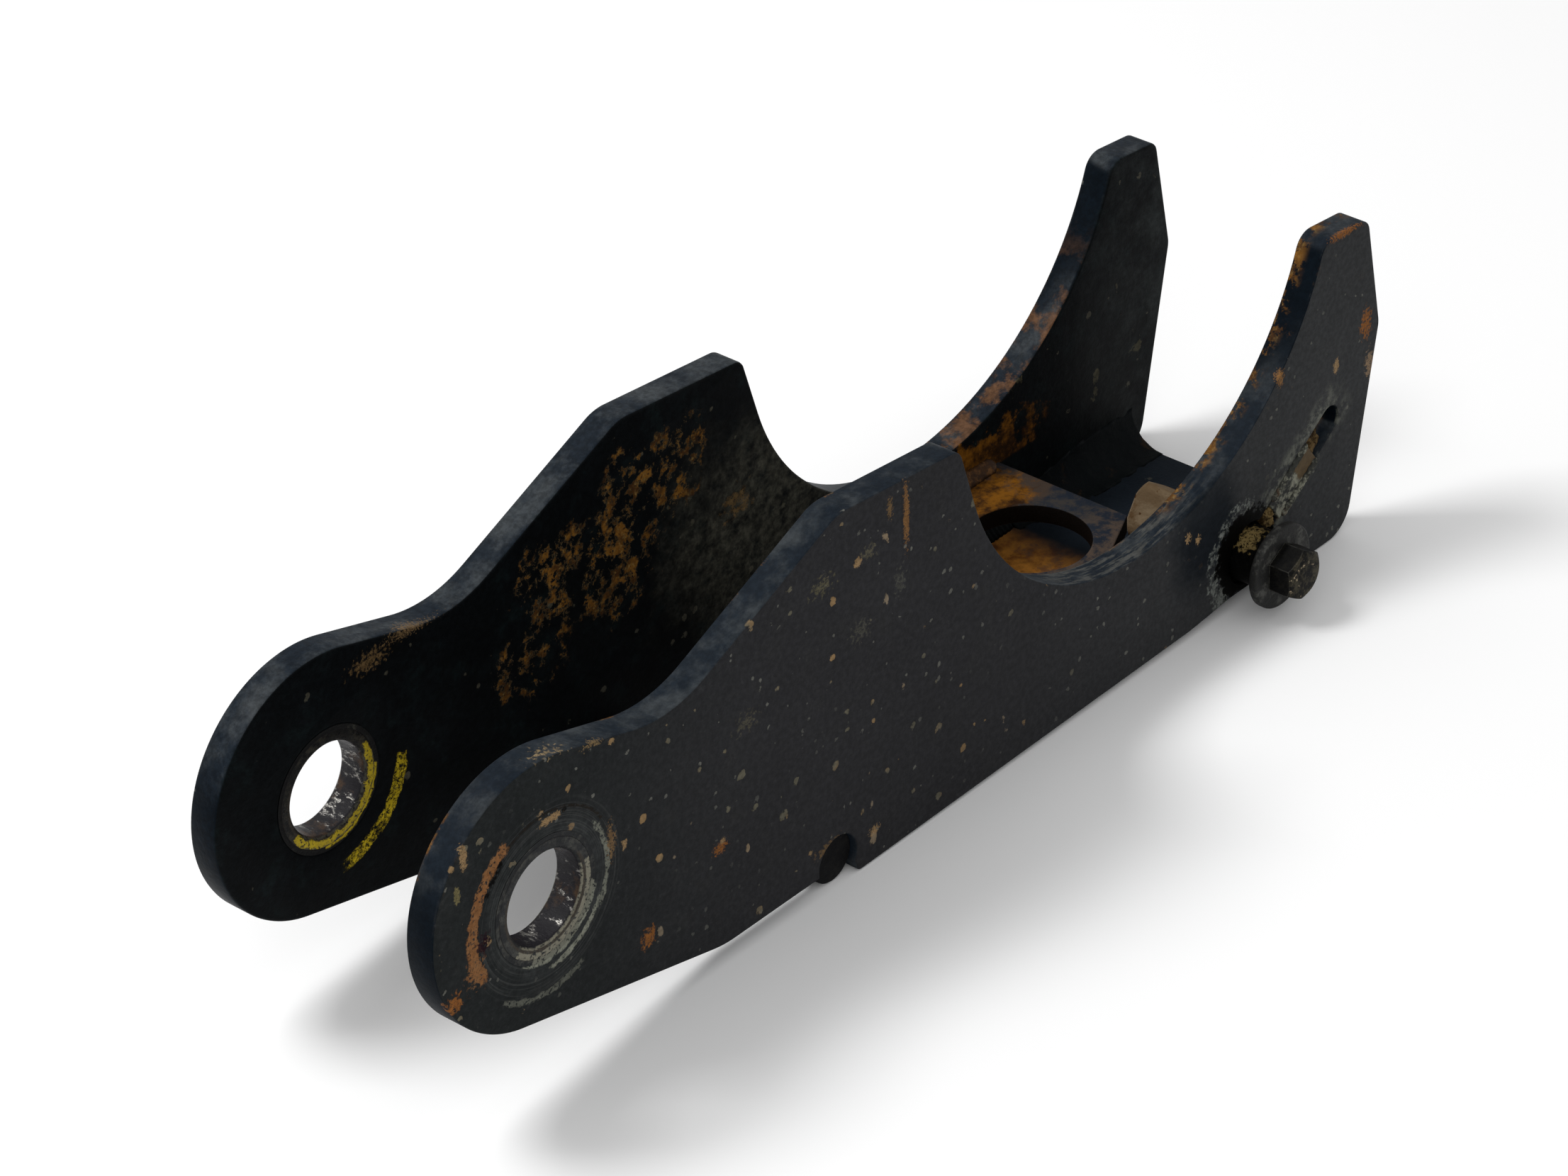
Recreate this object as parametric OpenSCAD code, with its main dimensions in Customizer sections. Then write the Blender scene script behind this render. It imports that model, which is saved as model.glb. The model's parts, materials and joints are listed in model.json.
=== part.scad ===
// Quick coupler body for a small excavator arm: two flame-cut side plates tied together by a
// drilled seat plate, a heel plate, a front web and a cross rod, with a push-and-turn lock pin.
// Origin: middle of the gap, on the axis of the pivot bore. +X runs to the horns, +Z is up.

/* [Side plates] */
// Thickness of each side plate
plate_t = 16; // [14:0.5:18]
// Clear gap between the two side plates
gap = 113.4; // [110:0.2:118]
// Radius of the rounded nose around the pivot bore
nose_r = 65; // [62:0.5:67]
// Height of the underside of the foot above the pivot axis
sole_z = -98.5; // [-100:0.5:-98]
// Height of the horn tips above the pivot axis
horn_z = 76; // [72:0.5:82]

/* [Saddle] */
// Distance of the saddle's lowest point behind the pivot
saddle_x = 408; // [404:1:412]
// Height of the saddle's lowest point above the pivot axis
saddle_z = -31.5; // [-34:0.5:-30]
// Radius of the saddle on the hump side
hump_side_r = 125; // [122:1:127]
// Radius of the saddle on the horn side
horn_side_r = 153; // [151:1:155]

/* [Pivot] */
// Diameter of the pivot pin that runs in the bushes
pivot_d = 45; // [40:0.5:48]
// Outside diameter of the bushes
bush_d = 57; // [54:0.5:60]

/* [Cross plates] */
// Thickness of the seat plate
seat_t = 10; // [8:0.5:12]
// Thickness of the heel plate
heel_t = 6; // [5:0.5:6]
// Height of the top of the seat plate above the pivot axis
seat_z = -53; // [-56:0.5:-50]
// Diameter of the hole in the seat plate
seat_hole_d = 61.4; // [50:0.2:66]
// Distance of the middle of that hole behind the pivot
seat_hole_x = 417.5; // [412:0.5:422]
// Diameter of the cross rod
rod_d = 26; // [22:0.5:28]

/* [Lock pin] */
// Diameter of the lock pin
pin_d = 29; // [26:0.5:29.5]
// Width of the square block at the inner end of the lock pin
block_w = 28; // [24:0.5:28]
// Length by which the lock pin stands out of the plate, and so the travel it has inwards
pin_stand_out = 15.1; // [12:0.1:18]
// Diameter of the flame-cut hole that the lock pin goes through
pin_hole_d = 33; // [32.5:0.5:36]
// Distance from the lock pin's axis to the far end of the finger slot
slot_reach = 78; // [70:0.5:80]
// Width of the finger slot
slot_w = 15; // [14.8:0.1:16]
// Angle of the lock finger above the line along +X, at rest just clear of the heel plate
finger_turn = -9; // [-9:0.5:0]

/* [Hidden] */

$fn = 96;
outline_step = 2.5;            // degrees between points on a round stretch of the outline

// side plates
inner_y = gap / 2;
outer_y = inner_y + plate_t;
nose_centre = [-3, 4.8];
nose_top_angle = 74.5;         // where the nose runs into the neck
nose_belly_angle = 257.1;      // where the nose runs into the sloping belly
neck_run = 71;
neck_r = 70;
belly_z = -88;
belly_r = 60;
hump_front = [194, 97.4];
hump_front_r = 25;
hump_back = [278.1, 90.2];
hump_back_r = 8;
hump_side_angle = 17.3;        // lean of the hump's rear edge from upright
horn_side_angle = 20;          // lean of the horn tip's inner edge from upright
horn_tip_x = [555.5, 589.6];
horn_tip_slope = 3;
back_corner = [601.5, 11];
heel_x = 579.3;
heel_r = 18;
sole_rise = [4, 7];            // the lower edge is hollow by this much, and then by this much
sole_rise_x = [452, 484, 520, 548];

// cross plates and rod
front_x = 318;
seat_rear_x = 464;
heel_rear_x = 572;
sole_top_z = sole_z + heel_t;
notch_x = 436;                 // the rear right corner of the seat plate is cut off from here
notch_y = [-36.8, -24];
web_t = 10;
rod_at = [189, -85];
rod_recess = 4;
step_x = [199, 203];
weld = 6;
heel_fillet_x = 470;           // the fillet on the left of the heel plate is built up from here
heel_fillet_r = 20;

// bushes
bush_chamfer = 1.5;
prep = 2.5;                    // weld preparation around each bush

// lock pin
lock_at = [498.5, -72.5];
rest_gap = 0.3;
pin_outer_y = -outer_y - pin_stand_out;
pin_inner_y = -8.8;
block_length = 28;
block_angle = 56.5;
block_corner_r = 4.5;
block_bevel = 2.5;
sleeve_recess = 4;
running_gap = 0.08;
bolt_d = 16;
bolt_flats = 24;
bolt_head_h = 13;
bolt_grip = 30;
washer_d = 44;
washer_t = 4.8;
washer_hole_d = 17.5;
slot_angle = 35.6;
slot_open = 18;                // length left open at the end of the finger slot
filler_start = 24;             // distance of the filler strip from the lock pin's axis
finger_w = 14;
finger_t = 12;
finger_y = -inner_y + 0.4;
finger_weld_leg = 5;

function polar(a) = [cos(a), sin(a)];

// points on a round stretch about c, from angle a0 to angle a1
function arc(c, r, a0, a1) =
    let (n = max(1, ceil(abs(a1 - a0) / outline_step)))
    [for (i = [0 : n]) c + r * polar(a0 + (a1 - a0) * i / n)];

function unit(v) = v / norm(v);

// the corner b between neighbours a and c, rounded to radius r
function rounded(a, b, c, r) =
    let (u = unit(a - b), v = unit(c - b), half = acos(u * v) / 2,
         centre = b + unit(u + v) * r / sin(half),
         p = b + u * r / tan(half) - centre, q = b + v * r / tan(half) - centre,
         a0 = atan2(p[1], p[0]), turn = atan2(q[1], q[0]) - a0,
         sweep = turn > 180 ? turn - 360 : turn < -180 ? turn + 360 : turn)
    arc(centre, r, a0, a0 + sweep);

// nose, and the two straight runs that leave it
nose = arc(nose_centre, nose_r, nose_top_angle, nose_belly_angle);
neck = nose[0] + neck_run * polar(nose_top_angle - 90);
belly = let (end = nose[len(nose) - 1], slope = tan(nose_belly_angle - 270))
    [end[0] + (belly_z - end[1]) / slope, belly_z];

// saddle: two arcs that meet at its lowest point
saddle = concat(
    arc([saddle_x, saddle_z + horn_side_r], horn_side_r, -horn_side_angle, -90),
    arc([saddle_x, saddle_z + hump_side_r], hump_side_r, -90, -180 + hump_side_angle));

back_run = [heel_x, sole_z];
sole = [[sole_rise_x[0], sole_z + sole_rise[0]], [sole_rise_x[1], sole_z + sole_rise[1]],
        [sole_rise_x[2], sole_z + sole_rise[1]], [sole_rise_x[3], sole_z]];
tip_rear = [horn_tip_x[1], horn_z - horn_tip_slope];
tip_front = [horn_tip_x[0], horn_z];
foot = [step_x[1], sole_z];

outline = concat(
    nose,
    rounded(nose[len(nose) - 1], belly, [step_x[0], belly_z], belly_r),
    [[step_x[0], belly_z]],
    rounded([step_x[0], belly_z], foot, sole[0], 3),
    rounded(foot, sole[0], sole[1], 60),
    rounded(sole[0], sole[1], sole[2], 15),
    rounded(sole[1], sole[2], sole[3], 15),
    rounded(sole[2], sole[3], back_run, 10),
    rounded(sole[3], back_run, back_corner, heel_r),
    rounded(back_run, back_corner, tip_rear, 14),
    rounded(back_corner, tip_rear, tip_front, 7),
    rounded(tip_rear, tip_front, saddle[0], 11),
    saddle,
    rounded(saddle[len(saddle) - 1], hump_back, hump_front, hump_back_r),
    rounded(hump_back, hump_front, neck, hump_front_r),
    rounded(hump_front, neck, nose[0], neck_r));

// a shape drawn in X and Z, made solid from y0 to y1
module across(y0, y1) {
    translate([0, y1, 0]) rotate([90, 0, 0]) linear_extrude(y1 - y0) children();
}

// a round bar along Y
module bar(d, y0, y1) {
    translate([0, y1, 0]) rotate([90, 0, 0]) cylinder(h = y1 - y0, d = d);
}

module at_lock() {
    translate([lock_at[0], 0, lock_at[1]]) children();
}

// turns a shape about the Y axis, upwards from +X
module turned(angle) {
    rotate([0, -angle, 0]) children();
}

// the fillet of a weld in the corner between two faces: two legs and a bulging face
module bead_section(leg) {
    polygon([[0, 0], [leg, 0], [leg * 0.78, leg * 0.45], [leg * 0.45, leg * 0.78], [0, leg]]);
}

// the weld ring's section at one face of a bush, ground back a little below flush
module ring_section() {
    polygon([[bush_d / 2, -prep], [bush_d / 2 + prep, 0], [bush_d / 2 + prep / 2, -0.4],
             [bush_d / 2, -0.15]]);
}

module side_plate() {
    difference() {
        across(inner_y, outer_y) polygon(outline);
        bar(bush_d, inner_y - 1, outer_y + 1);
        for (end = [0, 1])
            translate([0, end == 0 ? inner_y : outer_y, 0])
                rotate([end == 0 ? -90 : 90, 0, 0])
                    cylinder(h = prep, r1 = bush_d / 2 + prep, r2 = bush_d / 2);
        translate([rod_at[0], 0, rod_at[1]]) bar(rod_d, inner_y - 1, outer_y + 1);
    }
}

// the keyhole that the lock pin and its finger are put in through
module slot_shape(reach, w) {
    rotate([0, 0, slot_angle]) {
        translate([0, -w / 2]) square([reach, w]);
        translate([reach, 0]) circle(d = w);
    }
}

module side_plate_right() {
    color("#34373d")
    difference() {
        mirror([0, 1, 0]) side_plate();
        at_lock() {
            bar(pin_hole_d, -outer_y - 1, -inner_y + 1);
            across(-outer_y - 1, -inner_y + 1) slot_shape(slot_reach, slot_w);
        }
    }
}

module side_plate_left() {
    color("#2b2e33") side_plate();
}

module bush() {
    edge = pivot_d / 2 + bush_chamfer;
    translate([0, outer_y, 0]) rotate([90, 0, 0])
        rotate_extrude()
            polygon([[edge, 0], [bush_d / 2, 0], [bush_d / 2, plate_t], [edge, plate_t],
                     [pivot_d / 2, plate_t - bush_chamfer], [pivot_d / 2, bush_chamfer]]);
}

module pivot_bush_right() {
    color("#6d6a63") mirror([0, 1, 0]) bush();
}

module pivot_bush_left() {
    color("#6d6a63") bush();
}

module bush_rings() {
    for (end = [0, 1])
        translate([0, end == 0 ? inner_y : outer_y, 0])
            rotate([end == 0 ? 90 : -90, 0, 0])
                rotate_extrude() ring_section();
}

module bush_welds_right() {
    color("#7d7d78") mirror([0, 1, 0]) bush_rings();
}

module bush_welds_left() {
    color("#7d7d78") bush_rings();
}

module seat_plate() {
    color("#4a443c")
    translate([0, 0, seat_z - seat_t]) difference() {
        linear_extrude(seat_t)
            polygon([[front_x, -inner_y], [notch_x, -inner_y], [notch_x, notch_y[0]],
                     [seat_rear_x, notch_y[1]], [seat_rear_x, inner_y], [front_x, inner_y]]);
        translate([seat_hole_x, 0, -1]) cylinder(h = seat_t + 2, d = seat_hole_d);
    }
}

module heel_plate() {
    color("#3a3b3e")
    translate([front_x, -inner_y, sole_z]) cube([heel_rear_x - front_x, gap, heel_t]);
}

module box_web() {
    color("#3a3b3e")
    translate([front_x, -inner_y, sole_top_z])
        cube([web_t, gap, seat_z - seat_t - sole_top_z]);
}

// fillet welds along X where a horizontal face meets the inner faces of the side plates
module long_bead(z, x0, x1, side) {
    translate([x0, side * inner_y, z])
        rotate([90, 0, 90])
            linear_extrude(x1 - x0)
                mirror([side > 0 ? 1 : 0, 0]) bead_section(weld);
}

module seat_welds() {
    color("#565048") {
        long_bead(seat_z, front_x + 4, seat_rear_x - 4, 1);
        long_bead(seat_z, front_x + 4, notch_x - 2, -1);
    }
}

// built-up fillet with a hollow face; its thin edges are cut off at 0.6 mm
module hollow_fillet(r) {
    edge = 0.6;
    difference() {
        square(r);
        translate([r + edge, r + edge]) circle(r);
    }
}

// the right-hand bead stops short of the lock pin, so that the finger can lie behind it
module heel_welds() {
    start = front_x + web_t + 2;
    color("#46443f") {
        long_bead(sole_top_z, start, heel_fillet_x, 1);
        translate([heel_fillet_x, inner_y, sole_top_z])
            rotate([90, 0, 90])
                linear_extrude(heel_rear_x - heel_fillet_x)
                    mirror([1, 0]) hollow_fillet(heel_fillet_r);
        long_bead(sole_top_z, start, lock_at[0] - pin_d / 2 - 12, -1);
    }
}

module web_welds() {
    color("#46443f")
    for (side = [-1, 1])
        translate([front_x, side * inner_y, sole_top_z])
            linear_extrude(seat_z - seat_t - sole_top_z)
                mirror([1, 0]) mirror([0, side > 0 ? 1 : 0]) bead_section(weld);
}

module cross_rod() {
    color("#1f2023")
    translate([rod_at[0], 0, rod_at[1]]) bar(rod_d, -outer_y + rod_recess, outer_y - rod_recess);
}

// fillet weld around the upper side of the cross rod, on the inner face of the left plate
module rod_weld() {
    below = 10;                // degrees that the bead runs on below the rod's middle
    translate([0, inner_y, 0])
        rotate([90, 0, 0])
            rotate([0, 0, -below]) rotate_extrude(angle = 180 + 2 * below)
                translate([rod_d / 2, 0]) bead_section(weld - 1);
}

module rod_welds() {
    color("#46443f")
    translate([rod_at[0], 0, rod_at[1]]) {
        rod_weld();
        mirror([0, 1, 0]) rod_weld();
    }
}

module guide_sleeve() {
    color("#55524b")
    at_lock() difference() {
        bar(pin_hole_d, -outer_y + sleeve_recess, -inner_y);
        bar(pin_d + 2 * running_gap, -outer_y, -inner_y + 1);
    }
}

module slot_filler() {
    color("#6a6b6c")
    at_lock() across(-outer_y, -inner_y) rotate([0, 0, slot_angle])
        translate([filler_start, -slot_w / 2])
            square([slot_reach - slot_open - filler_start, slot_w]);
}

// two thin beads along the long edges of the filler strip, on the outer face
module filler_welds() {
    bead_w = 4;
    bead_h = 1.2;
    start = washer_d / 2 + 4;
    color("#8b8c8a")
    at_lock()
        for (side = [-1, 1])
            turned(slot_angle)
                translate([start, -outer_y, side * slot_w / 2])
                    rotate([90, 0, 90])
                        linear_extrude(slot_reach - slot_open - start)
                            polygon([[0, -bead_w / 2], [0, bead_w / 2], [-bead_h * 0.7, bead_w / 4],
                                     [-bead_h, 0], [-bead_h * 0.7, -bead_w / 4]]);
}

// square bar with rounded edges, its inner end turned to a bevel
module lock_block() {
    outer_end = pin_inner_y - block_length;
    h = block_w / 2;
    swing = h * sqrt(2);
    end_r = swing - block_bevel - 1.9;
    corners = [[-h, -h], [h, -h], [h, h], [-h, h]];
    intersection() {
        across(outer_end, pin_inner_y) rotate(block_angle)
            polygon([for (i = [0 : 3])
                for (p = rounded(corners[(i + 3) % 4], corners[i], corners[(i + 1) % 4],
                                 block_corner_r)) p]);
        translate([0, pin_inner_y, 0]) rotate([90, 0, 0]) rotate_extrude()
            polygon([[0, 0], [end_r, 0], [swing, swing - end_r], [swing, block_length],
                     [0, block_length]]);
    }
}

// round bar from the washer to the block, with a blind hole for the bolt
module lock_pin() {
    r = pin_d / 2;
    length = pin_inner_y - block_length - pin_outer_y;
    color("#7b6a4f")
    at_lock() {
        lock_block();
        translate([0, pin_inner_y - block_length, 0]) rotate([90, 0, 0])
            rotate_extrude()
                polygon([[0, 0], [r, 0], [r, length - 1], [r - 1, length],
                         [bolt_d / 2, length], [bolt_d / 2, length - bolt_grip],
                         [0, length - bolt_grip]]);
    }
}

module lock_finger() {
    color("#5a5751")
    at_lock() turned(finger_turn) difference() {
        across(finger_y, finger_y + finger_t) {
            translate([0, -finger_w / 2]) square([slot_reach - 1, finger_w]);
            translate([slot_reach - 1, 0]) circle(d = finger_w);
        }
        bar(pin_d, finger_y - 1, finger_y + finger_t + 1);
    }
}

module finger_weld() {
    spread = 20;
    color("#46443f")
    at_lock() turned(finger_turn)
        translate([0, finger_y + finger_t, 0])
            rotate([-90, 0, 0])
                rotate([0, 0, -spread]) rotate_extrude(angle = 2 * spread)
                    translate([pin_d / 2, 0]) bead_section(finger_weld_leg);
}

module lock_washer() {
    color("#8d8c87")
    at_lock() difference() {
        bar(washer_d, pin_outer_y - rest_gap - washer_t, pin_outer_y - rest_gap);
        bar(washer_hole_d, pin_outer_y - washer_t - 1, pin_outer_y);
    }
}

// hexagon bolt: head with a chamfered crown, and a shank that ends in the pin
module lock_bolt() {
    seat = pin_outer_y - 2 * rest_gap - washer_t;
    crown = 2;
    corner = bolt_flats / sqrt(3);
    color("#1d1e20")
    at_lock() {
        intersection() {
            translate([0, seat, 0]) rotate([90, 30, 0])
                cylinder(h = bolt_head_h, r = corner, $fn = 6);
            translate([0, seat, 0]) rotate([90, 0, 0])
                rotate_extrude()
                    polygon([[0, 0], [corner + 1, 0], [corner + 1, bolt_head_h - crown - 0.5],
                             [bolt_flats / 2 - 0.8, bolt_head_h], [0, bolt_head_h]]);
        }
        bar(bolt_d, seat, pin_outer_y + bolt_grip);
    }
}

side_plate_right();
side_plate_left();
pivot_bush_right();
pivot_bush_left();
bush_welds_right();
bush_welds_left();
seat_plate();
heel_plate();
box_web();
seat_welds();
heel_welds();
web_welds();
cross_rod();
rod_welds();
guide_sleeve();
slot_filler();
filler_welds();
lock_pin();
lock_finger();
finger_weld();
lock_washer();
lock_bolt();
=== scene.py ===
import json
import math

import bmesh
import bpy
from mathutils import Matrix, Vector, noise

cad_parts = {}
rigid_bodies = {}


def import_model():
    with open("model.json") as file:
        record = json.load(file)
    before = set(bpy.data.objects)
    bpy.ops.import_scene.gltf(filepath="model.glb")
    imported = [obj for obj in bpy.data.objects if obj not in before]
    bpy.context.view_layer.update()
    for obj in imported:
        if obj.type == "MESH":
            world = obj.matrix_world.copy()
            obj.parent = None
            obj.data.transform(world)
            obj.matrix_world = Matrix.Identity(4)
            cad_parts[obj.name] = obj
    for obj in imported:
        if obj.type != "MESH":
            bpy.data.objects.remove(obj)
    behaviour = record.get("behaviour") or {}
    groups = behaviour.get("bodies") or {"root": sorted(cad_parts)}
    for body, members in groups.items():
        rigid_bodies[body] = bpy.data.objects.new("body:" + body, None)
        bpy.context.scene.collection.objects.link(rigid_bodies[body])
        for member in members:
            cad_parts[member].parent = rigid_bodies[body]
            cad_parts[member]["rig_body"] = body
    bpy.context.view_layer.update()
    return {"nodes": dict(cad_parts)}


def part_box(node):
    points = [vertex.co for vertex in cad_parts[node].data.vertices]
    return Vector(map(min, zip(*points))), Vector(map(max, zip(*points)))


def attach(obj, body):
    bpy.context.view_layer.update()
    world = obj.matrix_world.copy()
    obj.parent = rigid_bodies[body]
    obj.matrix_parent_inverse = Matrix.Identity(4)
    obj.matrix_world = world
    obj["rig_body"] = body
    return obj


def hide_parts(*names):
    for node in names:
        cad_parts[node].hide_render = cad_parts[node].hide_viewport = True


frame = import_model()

MM = 0.001
NODES = frame["nodes"]


# ---------------------------------------------------------------- places

def middle(node):
    low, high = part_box(node)
    return (low + high) / 2


# from the frame
OUTER_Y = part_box("side_plate_left")[1].y
INNER_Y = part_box("side_plate_left")[0].y
SOLE_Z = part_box("heel_plate")[0].z
SOLE_TOP_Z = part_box("heel_plate")[1].z
SEAT_TOP_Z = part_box("seat_plate")[1].z
SEAT_UNDER_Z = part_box("seat_plate")[0].z
LOCK = middle("lock_washer")
ROD = middle("cross_rod")
ROD_R = (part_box("cross_rod")[1].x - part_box("cross_rod")[0].x) / 2

# the same numbers as in the part's source
PIN_R = 14.5 * MM
SLOT_ANGLE = math.radians(35.6)
SLOT_HALF = 7.5 * MM
FILLER_END = 60 * MM
FILLER_BEAD_START = 26 * MM
WELD = 6 * MM

# how near counts as the same place, and how deep the big fillet is sunk into the plates
SAME_PLACE = 0.01 * MM
SUNK = 0.3 * MM

# linear colours
CHARCOAL = (0.0208, 0.0208, 0.0226)
BLUE_BLACK = (0.0085, 0.0125, 0.0180)
# painted shade, for rims that face sideways and for the patch beside the lock pin
PAINTED_SHADE = (0.0018, 0.0040, 0.0068)
# soot and painted shade, for the inner faces of the side plates
SOOT_AND_SHADE = (0.0022, 0.0030, 0.0036)
GREASE = (0.0008, 0.0007, 0.0006)
DUST = (0.105, 0.097, 0.070)
GREY = (0.125, 0.125, 0.110)
TAN = (0.24, 0.155, 0.075)
ORANGE = (0.190, 0.072, 0.018)
BROWN = (0.055, 0.024, 0.008)
YELLOW = (0.42, 0.31, 0.012)


# ---------------------------------------------------------------- node graphs for materials

class Graph:
    """Builds one material's nodes. Positions are the object's own, in metres."""

    def __init__(self, name):
        self.material = bpy.data.materials.new(name)
        self.material.use_nodes = True
        self.tree = self.material.node_tree
        self.tree.nodes.clear()
        self.shader = self.node("ShaderNodeBsdfPrincipled")
        output = self.node("ShaderNodeOutputMaterial")
        self.tree.links.new(self.shader.outputs["BSDF"], output.inputs["Surface"])
        self.place = self.node("ShaderNodeTexCoord").outputs["Object"]
        self.normal = self.node("ShaderNodeNewGeometry").outputs["Normal"]
        axes = self.node("ShaderNodeSeparateXYZ")
        self.feed(axes.inputs[0], self.place)
        self.x, self.y, self.z = axes.outputs
        facing = self.node("ShaderNodeSeparateXYZ")
        self.feed(facing.inputs[0], self.normal)
        self.normal_y, self.normal_z = facing.outputs[1], facing.outputs[2]
        self.noises = {}

    def node(self, kind, **settings):
        made = self.tree.nodes.new(kind)
        for key, value in settings.items():
            setattr(made, key, value)
        return made

    def feed(self, socket, value):
        if isinstance(value, bpy.types.NodeSocket):
            self.tree.links.new(value, socket)
        elif isinstance(value, (tuple, list)) and len(value) == 3 and socket.type == "RGBA":
            socket.default_value = (*value, 1.0)
        else:
            socket.default_value = value

    def math(self, operation, first, second=0.0, clamp=False):
        made = self.node("ShaderNodeMath", operation=operation, use_clamp=clamp)
        self.feed(made.inputs[0], first)
        self.feed(made.inputs[1], second)
        return made.outputs[0]

    def vector(self, operation, first, second=(0, 0, 0)):
        made = self.node("ShaderNodeVectorMath", operation=operation)
        self.feed(made.inputs[0], first)
        self.feed(made.inputs[1], second)
        return made.outputs["Value" if operation in ("LENGTH", "DOT_PRODUCT") else "Vector"]

    def noise(self, scale, detail=6.0, rough=0.7, distortion=0.0, at=None):
        """Noise from 0 to 1. One at the object's own place is made once and shared."""
        key = (scale, detail, rough, distortion)
        if at is None and key in self.noises:
            return self.noises[key]
        made = self.node("ShaderNodeTexNoise")
        self.feed(made.inputs["Vector"], at or self.place)
        made.inputs["Scale"].default_value = scale
        made.inputs["Detail"].default_value = detail
        made.inputs["Roughness"].default_value = rough
        made.inputs["Distortion"].default_value = distortion
        if at is None:
            self.noises[key] = made.outputs["Fac"]
        return made.outputs["Fac"]

    def shared_noise(self, scale):
        """Noise at the nearest power of two to a scale, so that marks of like size share it."""
        return self.noise(2.0 ** round(math.log2(scale)))

    def stretched(self, factors):
        return self.vector("MULTIPLY", self.place, factors)

    def warped(self, amount, scale, factors=(1, 1, 1)):
        """The position, pushed about by noise, so that shapes made from it get ragged outlines."""
        push = self.node("ShaderNodeVectorMath", operation="SCALE")
        self.feed(push.inputs[0], (amount, -amount, 0.7 * amount))
        self.feed(push.inputs["Scale"], self.minus(self.shared_noise(scale), 0.5))
        return self.vector("ADD", self.stretched(factors), push.outputs[0])

    def step(self, value, low, high):
        """0 below low, 1 above high; with low above high it falls instead."""
        made = self.node("ShaderNodeMapRange", interpolation_type="SMOOTHSTEP")
        flip = low > high
        self.feed(made.inputs["Value"], value)
        made.inputs["From Min"].default_value = min(low, high)
        made.inputs["From Max"].default_value = max(low, high)
        made.inputs["To Min"].default_value = 1.0 if flip else 0.0
        made.inputs["To Max"].default_value = 0.0 if flip else 1.0
        return made.outputs["Result"]

    def cloud(self, scale, low, high, detail=6.0, rough=0.7):
        """Noise cut to 0 below low and 1 above high."""
        return self.step(self.noise(scale, detail, rough), low, high)

    def away(self, value, target):
        """How far a value is from a target, either way."""
        return self.math("ABSOLUTE", self.minus(value, target))

    def mix(self, amount, first, second):
        made = self.node("ShaderNodeMix", data_type="RGBA")
        factor, a, b = made.inputs[0], made.inputs[6], made.inputs[7]
        self.feed(factor, amount)
        self.feed(a, first)
        self.feed(b, second)
        return made.outputs[2]

    def minus(self, first, second):
        return self.math("SUBTRACT", first, second)

    def times(self, *values):
        result = values[0]
        for value in values[1:]:
            result = self.math("MULTIPLY", result, value)
        return result

    def most(self, *values):
        result = values[0]
        for value in values[1:]:
            result = self.math("MAXIMUM", result, value)
        return result

    def without(self, mask, hole):
        return self.times(mask, self.minus(1.0, hole))

    def torn(self, grain):
        """Noise that tears holes in a patch."""
        return self.step(self.shared_noise(grain), 0.41, 0.48)

    def patch(self, centre, radii, ragged=0.8, soft=0.15, whole=False):
        """1 inside an ellipsoid given in millimetres, 0 outside, with a ragged rim; torn unless whole."""
        offset = self.vector("SUBTRACT", self.place, tuple(c * MM for c in centre))
        scaled = self.vector("MULTIPLY", offset, tuple(1 / (r * MM) for r in radii))
        grain = (1.2 if whole else 2.6) / (min(radii[0], radii[2]) * MM)
        wobble = self.minus(self.shared_noise(grain), 0.46)
        strength = 3 * ragged if whole else 6 * ragged
        reach = self.math("ADD", self.vector("LENGTH", scaled), self.times(wobble, strength))
        mask = self.step(reach, 1 + soft / 2, 1 - soft / 2)
        return mask if whole else self.times(mask, self.torn(grain * 2))

    def mark(self, y, x, z, wide, high, ragged=0.8):
        """A patch on a plate's face at y, all in millimetres."""
        return self.patch((x, y, z), (wide, 3, high), ragged)

    def marks(self, y, *rows):
        """Patches of colour on a plate's face: rows of colour and what mark() needs."""
        return [(self.mark(y, *place), colour) for colour, *place in rows]

    def radius(self, centre=(0, 0)):
        """Distance from an axis along Y, in millimetres."""
        offset = self.vector("SUBTRACT", self.place, (centre[0] * MM, 0, centre[1] * MM))
        return self.vector("LENGTH", self.vector("MULTIPLY", offset, (1000, 0, 1000)))

    def arc(self, radius, width, angle, spread, ragged=2.0, grain=260.0, centre=(0, 0)):
        """1 on part of a ring about an axis along Y: radius and width in mm, angles in degrees."""
        wobble = self.minus(self.shared_noise(grain), 0.5)
        away = self.away(self.radius(centre), radius)
        away = self.math("ADD", away, self.times(wobble, 3 * ragged))
        ring = self.step(away, width / 2 + 0.3, width / 2 - 0.3)
        offset = self.vector("SUBTRACT", self.place, (centre[0] * MM, 0, centre[1] * MM))
        flat = self.vector("NORMALIZE", self.vector("MULTIPLY", offset, (1, 0, 1)))
        turn = math.radians(angle)
        along = self.vector("DOT_PRODUCT", flat, (math.cos(turn), 0, math.sin(turn)))
        along = self.math("ADD", along, self.times(wobble, 0.3))
        limit = math.cos(math.radians(spread))
        return self.times(ring, self.step(along, limit - 0.02, limit + 0.02), self.torn(grain * 1.7))

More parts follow.
